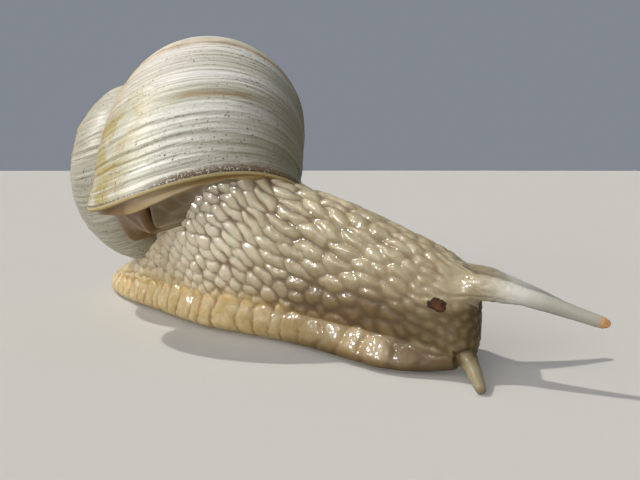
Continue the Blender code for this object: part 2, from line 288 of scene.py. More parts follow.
skinSizes = dict(
    rings=312,          # rings along the body
    over=178,           # points over the back, fringe to fringe
    side=17,            # points down each side of the fringe
    sole=12,            # points across the sole
    soleSquare=6.0,     # how square the foot's edge is
    chinRound=2.6,      # the same under the head, rounder
    noseOut=(0.12, -0.3, 0.0),      # rounding past the last stations
    tailOut=(0.0, 0.4, 0.0),
    bumpLift=0.90,      # height of the long bumps, mm
    bumpWander=0.24,    # how far their edges wander
    fringeHigh=4.4,     # from the fringe's top down to the sole
    blockWide=3.3,      # upright blocks of the fringe
    blockDeep=0.50,
    creaseApart=0.80,   # fine creases on the blocks
    creaseDeep=0.16,
    rootCell=1.15,      # small bumps on the feelers' roots
    rootLift=0.13,
    opening=1.12,       # half width of the hole that a feeler rises from, in its root radii
    headTurn=27,        # degrees the head turns to its left
    mouth=(-1.9, -24.6, 3.1),
    fleck=(-6.82, -23.98, 8.02),    # brown fleck on the right cheek
    fleckLong=1.36,
    fleckWide=0.74,
)

# tail to head: y, foot middle x, turn (deg), foot half width, flank half width, fringe height,
# lean of the back to the right, back height, underside height
bodyStations = np.array((
    (54.3, 1.6, 0, 1.0, 0.8, 0.7, 0.0, 1.3, 0.0),
    (53.2, 1.5, 0, 2.5, 2.2, 1.6, 0.0, 2.7, 0.0),
    (50.5, 1.2, 0, 4.3, 3.8, 2.6, 0.0, 4.5, 0.0),
    (45.0, 0.7, 0, 6.3, 5.6, 3.4, 0.0, 6.6, 0.0),
    (37.0, 0.1, 0, 8.0, 7.3, 4.0, -0.8, 9.4, 0.0),
    (28.0, -0.3, 0, 9.1, 8.4, 4.4, -3.6, 14.5, 0.0),
    (20.0, -0.7, 0, 10.1, 9.4, 4.6, -6.2, 20.0, 0.0),
    (12.5, -1.1, 0, 10.5, 9.8, 4.6, -7.0, 23.0, 0.0),
    (5.5, -0.9, 0, 9.8, 9.2, 4.5, -6.6, 23.8, 0.0),
    (0.0, -0.7, 0, 9.2, 8.7, 4.4, -4.6, 20.9, 0.0),
    (-6.5, -0.7, 0, 9.0, 8.2, 4.3, -3.2, 18.9, 0.0),
    (-13.0, -1.0, 2, 9.4, 7.9, 4.1, -2.2, 16.6, 0.0),
    (-18.0, -1.4, 8, 9.3, 7.0, 3.8, -1.4, 14.9, 0.0),
    (-21.3, -1.6, 16, 7.8, 6.2, 3.4, -0.8, 13.7, 0.0),
    (-23.4, -1.7, 22, 5.4, 5.6, 3.3, -0.3, 12.6, 0.6),
    (-24.6, -1.5, 25, 4.3, 5.0, 3.7, 0.0, 11.6, 1.7),
    (-25.4, -1.3, 27, 3.4, 3.9, 4.4, 0.0, 10.3, 2.8),
    (-25.8, -1.1, 27, 2.1, 2.3, 5.2, 0.0, 8.8, 4.0)), float)

# mm ahead; how steeply the long bumps point downhill, their length and their width
bumpStations = np.array((
    (-56, 0.30, 2.6, 1.80),
    (-30, 0.80, 3.4, 1.90),
    (-12, 0.80, 3.1, 1.60),
    (-4, 0.50, 3.7, 1.55),
    (2, 0.30, 4.8, 1.65),
    (10, 0.24, 5.0, 1.70),
    (17, 0.25, 3.7, 1.45),
    (22, 0.35, 2.3, 1.15),
    (26, 0.45, 1.6, 1.00)))

feelerPaths = (  # root, middle and tip; the right one and then the left one
    ("upper", np.array(((-4.1, -25.3, 10.2), (-2.6, -32.0, 9.4), (-0.4, -39.6, 7.4)))),
    ("upper", np.array(((1.6, -22.7, 10.5), (6.6, -27.3, 8.4), (11.7, -31.7, 5.5)))),
    ("lower", np.array(((-4.7, -25.6, 3.4), (-6.8, -28.4, 2.0), (-9.1, -30.9, 0.62)))),
    ("lower", np.array(((1.6, -22.2, 3.4), (4.0, -21.9, 2.1), (5.9, -21.5, 0.75)))))

# mound: height and width of the low rise that a feeler stands on; pale: how white it is;
# dark: how much painted shade darkens it towards its root; tip: how clear it is at its tip
feelerKinds = dict(
    upper=dict(radii=(1.75, 1.0, 0.58), rings=76, mound=(0.85, 2.7), pale=1.0, dark=0.0, tip=1.0),
    lower=dict(radii=(1.50, 0.9, 0.50), rings=40, mound=(1.85, 2.8), pale=0.03, dark=1.0, tip=0.9))


def bodyRings(t):
    # ring: side = flank cos a + lean sin^1.5 a and height = fringe + (back - fringe) sin a over
    # the back; under it a squared oval, |side|^n + |depth|^n = 1, down to the sole
    row = through(bodyStations, t)
    y, middle, turn, foot, flank, fringe, lean, back, under = row.T[..., None]
    n = skinSizes["soleSquare"] + (skinSizes["chinRound"] - skinSizes["soleSquare"]) * ease(-y, 16, 24)
    a = np.linspace(0, math.pi, skinSizes["over"])[None, 1:-1]
    s, c = np.sin(a), np.cos(a)
    corner = 0.5 ** (1 / n)
    down = corner * np.linspace(0, 1, skinSizes["side"])
    across = corner * np.linspace(-1, 1, skinSizes["sole"])[1:-1]
    byHead = ease(-y, 4, 15)
    out = ((1 - byHead) * np.sin(np.minimum(1.6 * down, 1.0) * math.pi / 2)
           + byHead * ease(down, -0.1, 0.80))
    wide = flank + (foot - flank) * out
    edge = wide * (1 - down**n) ** (1 / n)
    drop = fringe + (under - fringe) * down
    flat = fringe + (under - fringe) * (1 - abs(across)**n) ** (1 / n)
    side = np.concatenate((flank * c + lean * s**1.5, -edge, foot * across, edge[:, ::-1]), 1)
    height = np.concatenate((fringe + (back - fringe) * s, drop, flat, drop[:, ::-1]), 1)
    turn = np.radians(turn)
    return np.stack((middle + side * np.cos(turn), y + side * np.sin(turn), height), -1)


def stationSteps():
    # station numbers of the rings and the mm to each: even steps over the skin, closer on the
    # head and wider on the tail
    t = np.linspace(0, len(bodyStations) - 1, 1200)
    rings = bodyRings(t)[:, :skinSizes["over"] - 2]
    step = span(np.diff(rings, axis=0)).mean(1)
    length = np.append(0, np.cumsum(step))
    weight = 1 + 0.45 * ease(length, length[-1] - 16, length[-1] - 8) - 0.2 * (1 - ease(length, 22, 30))
    pace = np.append(0, np.cumsum(step * (weight[1:] + weight[:-1]) / 2))
    steps = np.interp(np.linspace(0, pace[-1], skinSizes["rings"]), pace, t)
    return steps, np.interp(steps, t, length)


def closeEnd(ring, middle, ahead, rings):
    # rounds off an end: rings that shrink like a quarter circle towards their middle
    e = np.sin(np.linspace(0, math.pi / 2, rings + 2)[1:-1])[:, None, None]
    return middle + (ring - middle) * np.sqrt(1 - e**2) + np.array(ahead) * e


def headAxes(p):
    # how far to the left and how far forward points lie as the turned head sees them
    a = math.radians(skinSizes["headTurn"])
    x, y = p[..., 0], p[..., 1]
    return x * math.cos(a) + y * math.sin(a), x * math.sin(a) - y * math.cos(a)


def skinGrid():
    # the body's rings, closed at both ends and raised under the feelers, and the measures that
    # its patterns are drawn by, all on one grid
    t, length = stationSteps()
    body = bodyRings(t)
    noseMiddle, tailMiddle = body[-1].mean(0), body[0].mean(0)
    nose = closeEnd(body[-1], noseMiddle, skinSizes["noseOut"], 9)
    tail = closeEnd(body[0], tailMiddle, skinSizes["tailOut"], 5)
    body = np.concatenate((tail[::-1], body, nose))
    for kind, path in feelerPaths:
        high, wide = feelerKinds[kind]["mound"]
        apart = span(body - path[0])[..., None]
        body = body + unit(path[1] - path[0]) * high * hump(apart, wide)
    g = SimpleNamespace(body=body, normals=outward(body), ahead=-body[..., 1], z=body[..., 2])
    g.ends = tailMiddle + skinSizes["tailOut"], noseMiddle + skinSizes["noseOut"]
    rows, count = g.z.shape
    over, side = skinSizes["over"] - 2, skinSizes["side"]
    # low: mm down from the middle line of the back; toFringe: mm above the fringe
    step = span(np.diff(body, axis=1, append=body[:, :1]))
    walk = np.cumsum(step, 1) - step
    ridge = walk[:, over // 2][:, None]
    g.low, g.beyond = abs(walk - ridge), walk > ridge
    g.toFringe = np.where(g.beyond, walk[:, over][:, None] - walk, walk - walk[:, :1])
    # down: 0 at the fringe's top to 1 at the sole; under: mm below the fringe's top
    j = np.arange(count)[None] + np.zeros((rows, 1))
    g.rightSide = (j >= over / 2) & (j < over + side + skinSizes["sole"] / 2)
    g.onBack, g.onSole = (j < over).astype(float), ((j >= over + side) & (j < count - side)).astype(float)
    g.down = np.clip(np.minimum(j - over, count - 1 - j) / (side - 1), 0, 1)
    g.under = np.where(g.onBack > 0, -g.toFringe, g.down * skinSizes["fringeHigh"])
    # fromTail: mm along the skin from the tail
    ring = np.clip(np.arange(rows) - len(tail), 0, len(length) - 1)
    g.fromTail = length[ring][:, None] + np.zeros((rows, count))
    return g


def grownCells(p, n, way, long, wide, allowed):
    # cells on a grid of points: one seed after another on the free point nearest to the seeds so
    # far; a seed measures distance in its own lengths, long along way and wide across it. Gives
    # the mm to the line half way to the next seed, the distance to the seed and a random tone
    fits, reach, never = 0.82, 44, 99.0     # room for a seed; rings that its cell can reach; no room
    across = np.cross(n, way)
    rows, count = long.shape
    i, j = np.meshgrid(np.arange(rows), np.arange(count), indexing="ij")
    luck = 0.30 * scatter(i, j, 21)
    near, beyond = np.full(long.shape, 5.0), np.full(long.shape, 6.0)
    first, second = np.zeros(long.shape, int), np.zeros(long.shape, int)
    rank = np.where(allowed, 5.0 + luck, never)
    seeds = []
    while rank.min() < never:
        k = np.unravel_index(np.argmin(rank), rank.shape)
        part = slice(max(k[0] - reach, 0), k[0] + reach + 1)
        offset = p[part] - p[k]
        d = np.sqrt((offset @ way[k] / long[k])**2 + (offset @ across[k] / wide[k])**2
                    + (offset @ n[k] / (1.5 * wide[k]))**2)
        closer = d < near[part]
        between = ~closer & (d < beyond[part])
        beyond[part] = np.where(closer, near[part], np.where(between, d, beyond[part]))
        second[part] = np.where(closer, first[part], np.where(between, len(seeds), second[part]))
        near[part] = np.where(closer, d, near[part])
        first[part] = np.where(closer, len(seeds), first[part])
        rank[part] = np.where(allowed[part] & (near[part] > fits), near[part] + luck[part], never)
        seeds.append(k)
    si, sj = np.array(seeds).T
    apart = p[si, sj][second] - p[si, sj][first]
    own = lambda axis, size: np.einsum("ijk,ijk->ij", apart, axis[si, sj][first]) / size[si, sj][first]
    gap = np.sqrt(own(way, long)**2 + own(across, wide)**2) + 0.01
    border = (beyond**2 - near**2) / (2 * gap) * (span(apart) / gap)
    print("bumps:", len(seeds))
    return np.clip(border, 0, 9), near, scatter(first, 3, 8)


def longBumps(g):
    # cells of the back and flanks: each points ahead and a little down, steeper and shorter by
    # the shell, rounder above the fringe, small on the face and round the feelers
    fall, long, wide = (np.interp(g.ahead, bumpStations[:, 0], column) for column in bumpStations[:, 1:].T)
    rounder = (1 - ease(g.toFringe, 2, 8)) * (1 - 0.7 * ease(g.ahead, 14, 20)) * ease(g.ahead, -40, -20)
    byShell = ease(g.toFringe, 9, 14) * (1 - ease(g.ahead, -14, -2))
    toFeeler = [span(g.body - path[0]) for kind, path in feelerPaths if kind == "upper"]
    byFeeler = 1 - ease(np.min(toFeeler, axis=0), 1.5, 4.5)
    long *= (1 - 0.30 * rounder) * (1 - 0.22 * byShell)
    wide *= (1 + 0.20 * rounder) * (1 - 0.15 * byShell)
    long, wide = long + (1.35 - long) * byFeeler, wide + (0.90 - wide) * byFeeler
    fall *= (0.40 + 0.60 * ease(g.toFringe, 1, 9)) * ease(g.low, 0.5, 4.0)
    fall = fall + 0.16 * hills(g.ahead / 5, g.low / 4, 3)
    along = unit(np.gradient(g.body, axis=0))
    downhill = unit((np.roll(g.body, -1, 1) - np.roll(g.body, 1, 1)) * np.where(g.beyond, 1, -1)[..., None])
    way = along + fall[..., None] * downhill
    way = unit(way - g.normals * np.einsum("ijk,ijk->ij", way, g.normals)[..., None])
    wander = np.stack([hills(g.ahead * 1.1, g.low * 1.2, k) for k in (31, 32, 33)], -1)
    warped = g.body + skinSizes["bumpWander"] * wander
    return *grownCells(warped, g.normals, way, long, wide, g.onBack > 0), wide


def pillowed(border, soft):
    # rounded bump from the distance to its edge: steep at the edge, level from soft inwards
    return 1 - (1 - np.clip(border / soft, 0, 1))**2


def fringeBlocks(g):
    # upright blocks: uneven stripes, each ending above in a bow; every block is a rounded bump
    # with fine creases that fork and fade upwards. edge: the foot's front edge, nearly smooth
    wide, down = skinSizes["blockWide"], g.under
    stripe = g.fromTail / wide + 0.20 * hills(g.fromTail / 3, down / 2, 9) + 0.03 * down + 17 * g.rightSide
    number, part = stripePlace(stripe, 1)
    foot = SimpleNamespace(edge=ease(g.ahead + 0.5 * g.body[..., 0], 10.5, 17))
    foot.top = -0.5 + 1.1 * (2 * part - 1)**2 - 1.1 * scatter(number, 2, 3) + 1.6 * foot.edge
    foot.inside = ((down > foot.top) & (g.onSole < 1)).astype(float)
    foot.block = pillowed(np.minimum(np.minimum(part, 1 - part) * wide, down - foot.top + 0.05), 0.95)
    bent = g.fromTail / skinSizes["creaseApart"] + 0.4 * hills(g.fromTail * 0.9, down, 8) + 7 * g.rightSide
    border, foot.tone = pebbleCells(bent, down / 2.6, 16)
    foot.fine = hump(border, 0.13) * ease(down, -0.6, 1.6)
    foot.relief = foot.inside * (np.sqrt(1 - g.down) * 0.85 + 0.15) * (1 - 0.70 * foot.edge) * (
        skinSizes["blockDeep"] * (foot.block - 0.6) - skinSizes["creaseDeep"] * foot.fine
        + 0.09 * hills(g.fromTail * 0.8, down, 6))
    return foot


def cheekFleck(g):
    # lens with a ragged rim: 1 inside, falling steeply where (long / size)^2 + |wide / size|^1.5
    # and some soft hills pass 1
    offset = g.body - np.array(skinSizes["fleck"])
    long = offset @ np.array((0.45, -0.89, -0.05))
    wide = offset @ np.array((0.05, 0.0, 1.0)) + 0.12 * long
    ragged = 0.30 * hills(long * 2.6, wide * 2.6, 71) + 0.25 * hills(long * 6, wide * 6, 72)
    lens = (long / skinSizes["fleckLong"])**2 + abs(wide / skinSizes["fleckWide"])**1.5
    return np.exp(-(lens + ragged)**3) * (g.body[..., 0] < -3)


def drawSkin(g):
    # the body's points with every bump and crease on them, and the marks that its paint follows
    foot = fringeBlocks(g)
    border, middle, tone, wide = longBumps(g)
    border = np.minimum(border, foot.top - g.under + 0.05)
    soft = np.clip(wide * 0.46, 0.38, 0.80)
    dome = np.sqrt(np.clip(1.06 - (middle / 0.66)**2, 0, 1))
    nearHead = ease(g.ahead, 2, 16)
    blurred = lambda field, few, many: soften(field, few) * (1 - nearHead) + soften(field, many) * nearHead
    # pillow is for the paint; puffy, the height, rises from a cell's edge like a quarter circle
    pillow = np.clip(ease(border, -0.08, soft)**0.8 * (0.12 + 0.88 * dome), 0, 1)
    slope = 1 - np.clip(border / soft, 0, 1)
    puffy = blurred(np.sqrt(1 - slope**2) * (0.25 + 0.75 * dome), 2, 5)

    # low on the neck and on the face the bumps flatten and sink into darker skin: partly the skin's own
    # brown, partly painted shade
    offset = g.body - np.array(skinSizes["mouth"])
    sideways, forward = headAxes(offset)
    lowNeck = (1 - ease(g.toFringe, 1.5, 7.5)) * ease(g.ahead, -4, 8)
    face = ease(forward, -4.5, -1.5) * (1 - ease(g.z, 5.0, 9.0))
    sunkAndShaded = np.clip(lowNeck * (0.75 + 0.25 * ease(g.ahead, 8, 18)) + face, 0, 1) * g.onBack
    # the lower fringe towards the head and the foot's front edge are darkened too: painted shade
    onFoot = 0.80 * ease(g.down, 0.30, 0.85) * ease(g.ahead, -8, 10)
    sunkAndShaded += (1 - g.onBack) * np.maximum(0.72 * foot.edge, onFoot)
    lift = skinSizes["bumpLift"] * (0.80 + 0.40 * tone) * np.clip(wide / 1.7, 0.3, 1.15)
    lift *= (1 - 0.35 * ease(-g.ahead, 10, 32)) * (1 - 0.62 * sunkAndShaded)
    relief = (1 - foot.inside) * (1 - g.onSole) * lift * (puffy - 0.6) + foot.relief
    waves = 0.10 * hills(g.ahead / 4, g.low / 3, 15) + 0.03 * hills(g.ahead * 1.6, g.low * 1.9, 16)
    relief += g.onBack * waves

    # mouth: a bowed crease with full lips, low between the lower feelers
    rise = offset[..., 2] - 0.16 * sideways**2
    nearMouth = np.exp(-(sideways / 1.7)**4) * ease(forward, -2.2, -0.8)
    split = hump(sideways, 0.16) * ease(-rise, 0.1, 0.6) * ease(forward, -2.2, -0.8)
    relief = relief * (1 - 0.7 * nearMouth * hump(rise, 1.3))
    relief += nearMouth * (0.30 * hump(rise, 0.9) - 0.50 * hump(rise, 0.20)) - 0.22 * split

    # free: 1 away from the feelers, whose roots are nearly smooth, as is the sole
    free = np.ones(g.z.shape)
    for kind, path in feelerPaths:
        apart, radius = span(g.body - path[0]), feelerKinds[kind]["radii"][0]
        free *= ease(apart, radius * 0.80, radius * 1.35)
    relief *= (free * 0.85 + 0.15) * ease(g.z, -0.01, 0.25)
    fleck = cheekFleck(g)
    relief = relief * (1 - 0.8 * fleck) + 0.10 * fleck

    # raised: 0 in the dark grooves, 1 on the bumps and blocks
    rear = ease(-g.ahead, 6, 22)
    onBlock = ease(foot.block, 0.8 * foot.edge - 0.05, 0.70 + 0.6 * foot.edge)
    onBlock = onBlock - 0.45 * foot.fine * (1 - foot.edge)
    onBump = ease(pillow, 0.02 + 0.40 * sunkAndShaded - 0.12 * rear, 0.60 + 0.38 * sunkAndShaded - 0.20 * rear)
    raised = blurred(np.where(foot.inside > 0, onBlock, onBump), 1, 7)
    raised = np.where(g.onSole > 0, 0.6, raised) * free + (1 - free) * 0.9
    fringe = (1 - ease(g.toFringe, 0.5, 3.5)) * g.onBack * 0.5 + foot.inside * 0.6 + g.onSole
    return g.body + g.normals * relief[..., None], {
        "raised": np.clip(raised, 0, 1),
        "crown": np.where(foot.inside > 0, foot.block, pillow),
        "tone": np.where(foot.inside > 0, foot.tone * 0.5 + 0.25, tone),
        "fringe": np.clip(fringe, 0, 1) * (1 - 0.9 * foot.edge),
        "sunkAndShaded": sunkAndShaded,
        # pale beside the shell: partly the skin's paler tone, partly painted light
        "paleAndPaintedLight": g.onBack * ease(-g.ahead, -4, 9) * (1 - ease(-g.ahead, 15, 26)),
        "feeler": 0 * g.z,
        "whiteness": (1 - free) * (g.z > 6),
        "fleck": fleck,
        "mouth": nearMouth * hump(rise, 0.22),
        "ahead": g.ahead / 60,
        "low": np.clip(1 - g.toFringe / 16, 0, 1) * g.onBack + (1 - g.onBack),
    }


def rootCells(p):
    # small bumps in space, longer ahead than across: one seed in each unit cube; gives how much
    # further a point is from the next seed than from its own
    across, along = headAxes(p)
    size = skinSizes["rootCell"]
    x, y, z = along / (size * 1.5), across / size, p[..., 2] / size
    corner = np.floor(x), np.floor(y), np.floor(z)
    near, beyond = np.full(x.shape, 9.0), np.full(x.shape, 9.0)
    for step in np.ndindex(3, 3, 3):
        i, j, k = (low + move - 1 for low, move in zip(corner, step))
        key = i + 31 * k
        d = np.sqrt((x - i - 0.5 - 0.7 * (scatter(key, j, 60) - 0.5))**2
                    + (y - j - 0.5 - 0.7 * (scatter(key, j, 61) - 0.5))**2
                    + (z - k - 0.5 - 0.7 * (scatter(key, j, 62) - 0.5))**2)
        beyond = np.where(d < near, near, np.minimum(beyond, d))
        near = np.minimum(near, d)
    return beyond - near


def feelerTube(path, loop, normals, kind):
    # tube round a smooth path: its first rings bend out of the skin along curves from each point
    # of the opening's edge, then circles of falling radius, and a rounded tip; gives its rings,
    # its pole and how far along it each ring is, 0 to 1
    radii = kind["radii"]
    s = np.linspace(0, 2, kind["rings"])
    line = through(path, s)
    axis = unit(np.gradient(line, axis=0))
    first = unit(np.cross(axis, (0.3, 0.2, 1.0)))
    second = np.cross(axis, first)
    length = np.append(0, np.cumsum(span(np.diff(line, axis=0))))
    radius = np.interp(s, (0, 1, 2), radii) + 0.10 * radii[2] * hump(length - length[-1], 1.0)
    out = loop - path[0]
    angle = np.unwrap(np.arctan2(out @ second[0], out @ first[0]))
    way = 1 if angle[-1] > angle[0] else -1
    even = angle.mean() + way * fullTurn * (np.arange(len(loop)) - (len(loop) - 1) / 2) / len(loop)
    start = np.searchsorted(length, radii[0] * 1.55)    # the circles begin 1.55 root radii out
    line, axis, first, second, radius = (v[start:] for v in (line, axis, first, second, radius))
    length = length[start:, None]
    f = ease(length, length[0], length[-1] * 0.4)
    turn = angle * (1 - f) + even * f
    wrinkle = (1 + 0.02 * np.sin(length * 7 + 2 * np.sin(length * 2.3)) * ease(length, 1, 5)
               + 0.022 * hills(length * 1.1, np.cos(turn) * 1.3 + 5, 51))
    spoke = np.cos(turn)[..., None] * first[:, None] + np.sin(turn)[..., None] * second[:, None]
    tube = line[:, None] + (radius[:, None] * wrinkle)[..., None] * spoke
    inward = tube[0] - loop
    inward -= normals * np.einsum("ij,ij->i", inward, normals)[:, None]
    reach = span(tube[0] - loop)[:, None]
    c1, c2 = loop + inward * 0.5, tube[0] - axis[0] * reach * 0.55
    f = np.linspace(0, 1, 10)[1:-1, None, None]
    skirt = (1 - f)**3 * loop + 3 * f * (1 - f)**2 * c1 + 3 * f**2 * (1 - f) * c2 + f**3 * tube[0]
    tip = closeEnd(tube[-1], line[-1], axis[-1] * radii[2] * 0.95, 7)
    along = np.concatenate((np.linspace(0.01, 0.08, len(skirt)),
                            np.interp(length[:, 0], (length[0, 0], length[-1, 0]), (0.09, 0.97)),
                            np.linspace(0.975, 1, len(tip))))
    return np.concatenate((skirt, tube, tip)), line[-1] + axis[-1] * radii[2] * 0.96, along[:, None]


def rootOpening(g, path, radius):
    # the rectangle of the grid that a feeler's root opens in the skin, and its edge's points in
    # order round it
    axis = unit(path[1] - path[0])
    offset = g.body - path[0]
    forward = offset @ axis
    off = span(offset - forward[..., None] * axis) + 9 * (forward < -0.4)
    i, j = np.unravel_index(np.argmin(off), off.shape)
    rows, count = g.z.shape
    di = span(g.body[i + 2, j] - g.body[i - 2, j]) / 4
    dj = span(g.body[i, (j + 2) % count] - g.body[i, j - 2]) / 4
    half = radius * skinSizes["opening"]
    hi, hj = round(half / di), round(half / dj)
    i0, i1, j0, j1 = i - hi, min(i + hi, rows - 2), j - hj, j + hj
    edge = [(i0, k) for k in range(j0, j1)] + [(k, j1) for k in range(i0, i1)]
    edge += [(i1, k) for k in range(j1, j0, -1)] + [(k, j0) for k in range(i1, i0, -1)]
    ei, ej = np.array(edge).T
    return slice(i0, i1), np.arange(j0, j1) % count, ei, ej % count


def makeSkin(material):
    g = skinGrid()
    skin, marks = drawSkin(g)
    values = {}
    for k, v in marks.items():
        pole = 0.5 if k in ("raised", "crown", "tone") else 0.0
        values[k] = [spread(v, v.shape, pole, pole)]
    points, quads, fans = closedGrid(skin, g.ends)
    points, fans, count = [points], [fans], skin.shape[1]
    closed = np.ones(quads.shape[:2], bool)
    extra = []
    start = len(points[0])
    for kindName, path in feelerPaths:
        kind = feelerKinds[kindName]
        hole, across, ei, ej = rootOpening(g, path, kind["radii"][0])
        closed[hole, across] = False
        tube, pole, way = feelerTube(path, skin[ei, ej], g.normals[ei, ej], kind)
        small = pillowed(rootCells(tube), 0.42)
        rough = (1 - ease(way, 0.16, 0.42)) * ease(way, 0.0, 0.03)
        tube = tube + outward(tube) * (skinSizes["rootLift"] * rough * (small - 0.6))[..., None]
        ring = np.arange(len(ei))
        last = start + len(tube) * len(ring)
        points += [tube.reshape(-1, 3), pole[None]]
        edge = ei * count + ej
        join = np.stack((edge, np.roll(edge, -1), start + np.roll(ring, -1), start + ring), -1)
        extra += [gridFaces(len(tube), len(ring), start).reshape(-1, 4), join]
        fans.append(poleFaces(last - len(ring) + ring, last))
        # the lower feelers are darkened towards their roots, through sunk, low and raised: painted shade
        paintedShade = (1 - 0.45 * ease(way, 0.0, 0.6)) * kind["dark"]
        onTube = {"raised": 1 - (1 - pillowed(rootCells(tube), 0.2)) * rough * 0.8 - 0.5 * paintedShade,
                  "crown": 1 - (1 - small) * rough, "sunkAndShaded": paintedShade, "low": 0.9 * paintedShade, "tone": 0.5,
                  "feeler": way * kind["tip"], "whiteness": kind["pale"], "ahead": 0.45}
        for k, parts in values.items():
            parts.append(spread(onTube.get(k, 0.0), tube.shape[:2], 1.0))
        start = last + 1
    return surface("skin", np.concatenate(points), np.concatenate([quads[closed], *extra]),
                   np.concatenate(fans), material, {k: np.concatenate(v) for k, v in values.items()})


def skinFinish():
    f = Finish("wetSkin", Subsurface_Weight=0.30, Subsurface_Radius=(1.0, 0.50, 0.25),
               Subsurface_Scale=0.0010, Coat_Roughness=0.18, Coat_IOR=1.5, IOR=1.40,
               Specular_IOR_Level=0.11)
    where = f.place()
    raised, crown, tone, fringe = map(f.mark, ("raised", "crown", "tone", "fringe"))
    feeler, low, sunkAndShaded, fleck = map(f.mark, ("feeler", "low", "sunkAndShaded", "fleck"))
    patch = f.noise(where, 110.0, 3)
    mottle = f.noise(where, 420.0, 4, 0.6)
    toHead = f.mark("ahead").ramp(-0.20, 0.24)
    shade = low.ramp(0.40, 0.85) * (0.48 + toHead * 0.75)
    cream = f.blend(tone * 0.6 + patch * 0.4, (0.42, 0.36, 0.22), (0.58, 0.52, 0.36))
    yellow = f.blend(patch * 0.7 + tone * 0.4, (0.46, 0.29, 0.070), (0.62, 0.44, 0.155))
    # the fringe's ochre darkens towards the head: partly its own colour, partly painted shade
    ochre = f.blend(toHead * 0.85, yellow, (0.20, 0.147, 0.066))
    deep = f.blend(f.mark("ahead").ramp(0.26, 0.40), (0.105, 0.059, 0.022), (0.100, 0.080, 0.030))
    # the bumps: paler by the shell, partly painted light; duller to the head; warmer and darker low down,
    # partly painted shade; yellow on the fringe; dark where they sink, partly painted shade; mottled;
    # and browner on their slopes, partly painted shade
    bumps = f.layers(
        cream,
        (f.mark("paleAndPaintedLight") * 0.8 * (patch * 0.6 + 0.7), (0.82, 0.76, 0.61)),
        (toHead * 0.88, (0.265, 0.220, 0.130)),
        ((shade * (patch * 0.8 + 0.45)).clamp() * 0.95, (0.275, 0.205, 0.110)),
        (fringe * 1.1 * (patch * 0.4 + 0.75), ochre),
        (sunkAndShaded.ramp(0.24, 0.92) * (0.96 - crown * 0.24), deep),
        (mottle.ramp(0.35, 0.75) * (0.36 - sunkAndShaded * 0.34 - toHead * 0.14).clamp(), (0.80, 0.75, 0.62)),
        ((1 - crown) * (1 - sunkAndShaded) * 0.25, (0.38, 0.28, 0.16)))
    # the grooves: brown-grey of their own, made darker as painted shade in them; darker where the skin
    # sinks, yellow-brown on the fringe
    grooves = f.layers((0.20, 0.142, 0.086), (sunkAndShaded, (0.095, 0.060, 0.027)),
                       (fringe - sunkAndShaded * 0.9, (0.34, 0.20, 0.055)))
    # the feelers: nearly white, clearer and then brown to the tip
    clear = f.layers(f.blend(mottle, (0.53, 0.52, 0.475), (0.69, 0.69, 0.66)),
                     (feeler.ramp(0.20, 0.65) * 0.8, (0.28, 0.275, 0.225)))
    spot = f.blend(mottle.ramp(0.42, 0.60) * fleck.ramp(0.75, 1.0),
                   (0.03, 0.013, 0.007), (0.10, 0.036, 0.010))
    colour = f.layers(
        grooves,
        (raised.ramp(0.0, 0.80), bumps),
        (f.mark("whiteness") * (feeler * 3.0 - 0.15), clear),
        (feeler.ramp(0.93, 0.985), (0.52, 0.29, 0.11)),
        ((fleck + (mottle - 0.5) * 0.7).ramp(0.38, 0.56), spot),
        # the mouth's crease is painted dark brown: painted shade in it
        (f.mark("mouth").ramp(0.3, 0.9) * 0.8, (0.20, 0.10, 0.05)))
    rough = f.noise(where, 2300.0, 3, 0.6) * 0.6 + f.noise(where, 1100.0, 3, 0.6) * 1.0 + mottle * 0.9
    height = rough * (1 - f.mark("whiteness") * 0.6) * (1.25 - toHead * 0.85) * (1 - fringe * 0.4)
    wet = (f.noise(where, 4300.0, 2, 0.5) - toHead * 0.02).ramp(0.53, 0.57)
    film = wet * (0.8 + patch * 0.5 - toHead * 0.35) * (1 - sunkAndShaded * 0.75)
    return f.feed(Base_Color=colour,
                  Roughness=(0.50 - wet * 0.12 + (1 - raised) * 0.15 + fleck * 0.3).clamp(),
                  Coat_Weight=(film - fleck * 0.6).clamp(), Normal=f.bump(height, 0.00015, 0.95))


skin = makeSkin(skinFinish())
flesh = [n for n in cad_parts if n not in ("shell", "mantle_collar", "eye_left", "eye_right")]
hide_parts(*flesh)
print("skin done")


# shell: a tube coiled along a widening spiral, drawn line by line as it grew

shellSizes = dict(
    growth=1.94,        # how much wider each turn is than the one before
    turns=4.6,
    outside=257,        # mm along the outside of the coil to the lip
    centre=13.65, out=13.45, along=15.7, pitch=2.1,     # the tube's centre and half sizes at the lip
    shoulder=0.09, shoulderAt=1.95, shoulderSpread=0.75, full=0.055,
    top=(-10.2, 47.9, 30.0),
    axisTurn=26, axisRise=22, mouthSpin=-7,             # degrees
    lipSlant=0.41, lipFall=3.6, lipFallFrom=2.2, lipEnd=0.02,
    lowerLip=0.110, lipWaist=0.035,
    wall=0.045,         # thickness of the lip as a part of the tube's radius
    mouthDeep=0.30,
    rings=1000, seen=68, hidden=14,                     # points round the outside and the inside
    ridgeHigh=0.17, striaHigh=0.14,
)


def shellFrame():
    # the coil's axis, and the directions outwards and onwards where its tube reaches the lip
    s = shellSizes
    turn, rise = math.radians(s["axisTurn"]), math.radians(s["axisRise"])
    axis = np.array((-math.sin(turn) * math.cos(rise), math.cos(turn) * math.cos(rise), math.sin(rise)))
    level = unit(np.cross((0, 0, 1), axis))
    down = np.cross(level, axis)
    spin = math.radians(s["mouthSpin"])
    c, d = math.cos(spin), math.sin(spin)
    return axis, level * c + down * d, down * c - level * d


shellAxis, shellOut, shellOn = shellFrame()


